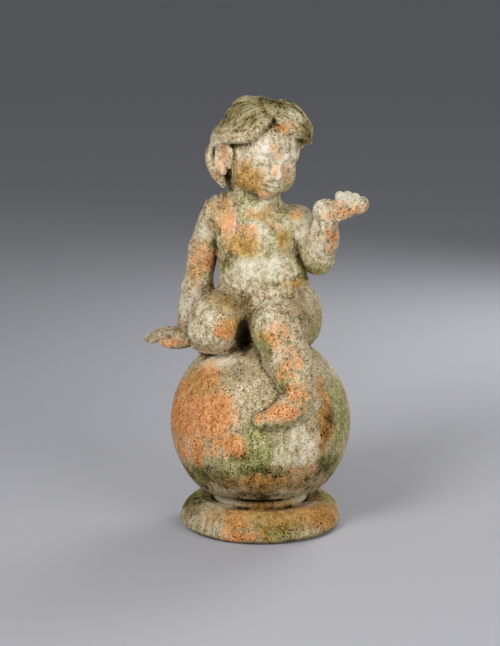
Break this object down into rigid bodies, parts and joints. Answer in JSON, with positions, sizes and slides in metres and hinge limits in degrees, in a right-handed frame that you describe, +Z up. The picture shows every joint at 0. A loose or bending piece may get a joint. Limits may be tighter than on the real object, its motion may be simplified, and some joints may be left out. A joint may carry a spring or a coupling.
{
  "type": "terracotta cherub statue",
  "caption": "Seated child figure in fired clay on a ball over a low round socle, one hand raised palm up, the other propped behind the hip.",
  "frame": {"origin": "centre of the socle's underside", "axes": "+Z up; -Y towards the viewer of the picture, the side the figure faces; +X to that viewer's right, the side of the raised hand"},
  "size_m": [0.3647, 0.3134, 0.7095],
  "materials": {
    "terracotta": null
  },
  "bodies": {
    "root": {"cherub_on_ball": "terracotta"}
  },
  "joints": []
}
